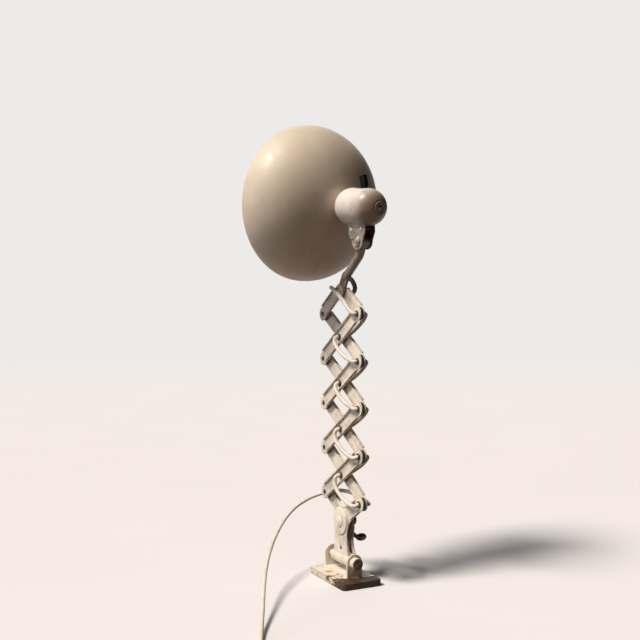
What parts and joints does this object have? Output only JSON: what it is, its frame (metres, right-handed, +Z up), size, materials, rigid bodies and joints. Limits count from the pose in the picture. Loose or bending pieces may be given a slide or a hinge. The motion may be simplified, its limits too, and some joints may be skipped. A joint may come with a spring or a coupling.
{
  "type": "accordion desk lamp",
  "caption": "Desk lamp with a wide dome shade on a crossed-link scissor arm that stretches and folds above a hinged, friction-clamped stem on a small flat plate.",
  "frame": {"origin": "centre of the base plate's underside, on the table", "axes": "+Z up; +X along the base's hinge pin, towards the pin's knob; the scissor links lie in the X-Z plane, and the shade opens towards -X"},
  "size_m": [0.4246, 0.3725, 0.6618],
  "materials": {
    "cream_sheet": "aged cream enamel on pressed sheet, chipped to dark metal along the edges",
    "cream_plate": "aged cream enamel on a heavy plate, worn at the corners",
    "cream_housing": "cream enamel on spun aluminium",
    "cream_shade": "satin cream enamel on spun aluminium, a few scuffs and stains",
    "dark_metal": "browned steel, paint worn off",
    "bare_steel": "dull nickel plate",
    "fibre": "black fibre washer",
    "cord": "matte off-white flex",
    "bulb": "opal glass",
    "black_plastic": "black moulded plastic"
  },
  "bodies": {
    "base": {"base_plate": "cream_plate", "base_bracket": "cream_sheet", "hinge_pin": "dark_metal", "cord_lead": "cord", "cord_coil": "cord", "coil_tie": "black_plastic", "plug_body": "black_plastic", "plug_pins": "bare_steel"},
    "stem": {"stem_front_cheek": "cream_sheet", "stem_back_cheek": "cream_sheet", "stem_rivet": "cream_sheet", "boss_plate": "cream_sheet", "clamp_bolt": "cream_sheet"},
    "lever": {"clamp_lever": "dark_metal"},
    "hub": {"hub_washer": "fibre", "arm_cord": "cord"},
    "front_link_0": {"link_a0": "cream_sheet", "rivets_a0": "dark_metal", "washers_a0": "fibre"},
    "back_link_0": {"link_b0": "cream_sheet"},
    "front_link_1": {"link_a1": "cream_sheet", "rivets_a1": "dark_metal", "washers_a1": "fibre"},
    "back_link_1": {"link_b1": "cream_sheet"},
    "front_link_2": {"link_a2": "cream_sheet", "rivets_a2": "dark_metal", "washers_a2": "fibre"},
    "back_link_2": {"link_b2": "cream_sheet"},
    "front_link_3": {"link_a3": "cream_sheet", "rivets_a3": "dark_metal", "washers_a3": "fibre"},
    "back_link_3": {"link_b3": "cream_sheet"},
    "front_link_4": {"link_a4": "cream_sheet", "rivets_a4": "dark_metal", "washers_a4": "fibre"},
    "back_link_4": {"link_b4": "cream_sheet"},
    "front_link_5": {"link_a5": "cream_sheet", "rivets_a5": "dark_metal", "washers_a5": "fibre"},
    "back_link_5": {"link_b5": "cream_sheet"},
    "neck": {"neck_tab": "cream_sheet", "neck_tube": "cream_sheet", "neck_screw": "bare_steel", "cord_grommet": "black_plastic"},
    "swivel": {"swivel_block": "cream_sheet"},
    "head": {"knuckle_front_plate": "bare_steel", "knuckle_back_plate": "dark_metal", "knuckle_rivets": "bare_steel", "knuckle_screw": "bare_steel", "housing_rear_shell": "cream_housing", "housing_cap": "cream_housing", "cap_screw": "dark_metal", "switch_body": "black_plastic", "shade": "cream_shade", "shade_ring": "black_plastic", "lampholder": "black_plastic", "bulb_cap": "bare_steel", "bulb_glass": "bulb"},
    "toggle": {"switch_toggle": "black_plastic"}
  },
  "joints": [
    {"name": "base_hinge", "type": "hinge", "parent": "base", "child": "stem", "pos_m": [0, 0, 0.03], "axis": [-1, 0, 0], "range_deg": [-54, 56], "deforming": ["cord_lead"]},
    {"name": "lever_turn", "type": "hinge", "parent": "stem", "child": "lever", "pos_m": [0, -0.00076, 0.0845], "axis": [0, 0.9999, 0.014], "range_deg": [-15, 60]},
    {"name": "arm_tilt", "type": "hinge", "parent": "stem", "child": "hub", "pos_m": [0, -0.00076, 0.0845], "axis": [0, 0.9999, 0.014], "range_deg": [-50, 50], "deforming": ["cord_lead"]},
    {"name": "scissor_fold", "type": "hinge", "parent": "hub", "child": "front_link_0", "pos_m": [0, -0.00076, 0.0845], "axis": [0, -0.9999, -0.014], "range_deg": [-12, 34], "deforming": ["arm_cord", "cord_lead"]},
    {"name": "fold_back_0", "type": "hinge", "parent": "hub", "child": "back_link_0", "pos_m": [0, -0.00076, 0.0845], "axis": [0, -0.9999, -0.014], "range_deg": [-34, 12]},
    {"name": "fold_right_1", "type": "hinge", "parent": "front_link_0", "child": "back_link_1", "pos_m": [0.05266, -0.00123, 0.11778], "axis": [0, -0.9999, -0.014], "range_deg": [-68, 24]},
    {"name": "fold_cross_1", "type": "hinge", "parent": "back_link_1", "child": "front_link_1", "pos_m": [0, -0.00169, 0.15107], "axis": [0, -0.9999, -0.014], "range_deg": [-24, 68]},
    {"name": "fold_right_2", "type": "hinge", "parent": "front_link_1", "child": "back_link_2", "pos_m": [0.05266, -0.00215, 0.18435], "axis": [0, -0.9999, -0.014], "range_deg": [-68, 24]},
    {"name": "fold_cross_2", "type": "hinge", "parent": "back_link_2", "child": "front_link_2", "pos_m": [0, -0.00262, 0.21764], "axis": [0, -0.9999, -0.014], "range_deg": [-24, 68]},
    {"name": "fold_right_3", "type": "hinge", "parent": "front_link_2", "child": "back_link_3", "pos_m": [0.05266, -0.00309, 0.25093], "axis": [0, -0.9999, -0.014], "range_deg": [-68, 24]},
    {"name": "fold_cross_3", "type": "hinge", "parent": "back_link_3", "child": "front_link_3", "pos_m": [0, -0.00355, 0.28422], "axis": [0, -0.9999, -0.014], "range_deg": [-24, 68]},
    {"name": "fold_right_4", "type": "hinge", "parent": "front_link_3", "child": "back_link_4", "pos_m": [0.05266, -0.00402, 0.3175], "axis": [0, -0.9999, -0.014], "range_deg": [-68, 24]},
    {"name": "fold_cross_4", "type": "hinge", "parent": "back_link_4", "child": "front_link_4", "pos_m": [0, -0.00448, 0.35079], "axis": [0, -0.9999, -0.014], "range_deg": [-24, 68]},
    {"name": "fold_right_5", "type": "hinge", "parent": "front_link_4", "child": "back_link_5", "pos_m": [0.05266, -0.00494, 0.38408], "axis": [0, -0.9999, -0.014], "range_deg": [-68, 24]},
    {"name": "fold_cross_5", "type": "hinge", "parent": "back_link_5", "child": "front_link_5", "pos_m": [0, -0.00541, 0.41736], "axis": [0, -0.9999, -0.014], "range_deg": [-24, 68]},
    {"name": "neck_level", "type": "hinge", "parent": "back_link_5", "child": "neck", "pos_m": [0, -0.00541, 0.41736], "axis": [0, -0.9999, -0.014], "range_deg": [-12, 34]},
    {"name": "head_swivel", "type": "hinge", "parent": "neck", "child": "swivel", "pos_m": [0.06135, -0.00624, 0.47712], "axis": [0.2079, -0.0137, 0.9781], "range_deg": [-120, 120]},
    {"name": "head_tilt", "type": "hinge", "parent": "swivel", "child": "head", "pos_m": [0.0628, -0.00634, 0.48397], "axis": [-0.1866, 0.981, 0.0534], "range_deg": [-12, 60]},
    {"name": "switch_rock", "type": "hinge", "parent": "head", "child": "toggle", "pos_m": [0.07523, -0.00745, 0.54789], "axis": [-0.1866, 0.981, 0.0534], "range_deg": [0, 30]}
  ],
  "couplings": [
    {"joint": "fold_back_0", "follows": "scissor_fold", "ratio": -1},
    {"joint": "fold_right_1", "follows": "scissor_fold", "ratio": -2},
    {"joint": "fold_cross_1", "follows": "scissor_fold", "ratio": 2},
    {"joint": "fold_right_2", "follows": "scissor_fold", "ratio": -2},
    {"joint": "fold_cross_2", "follows": "scissor_fold", "ratio": 2},
    {"joint": "fold_right_3", "follows": "scissor_fold", "ratio": -2},
    {"joint": "fold_cross_3", "follows": "scissor_fold", "ratio": 2},
    {"joint": "fold_right_4", "follows": "scissor_fold", "ratio": -2},
    {"joint": "fold_cross_4", "follows": "scissor_fold", "ratio": 2},
    {"joint": "fold_right_5", "follows": "scissor_fold", "ratio": -2},
    {"joint": "fold_cross_5", "follows": "scissor_fold", "ratio": 2},
    {"joint": "neck_level", "follows": "scissor_fold", "ratio": 1}
  ]
}
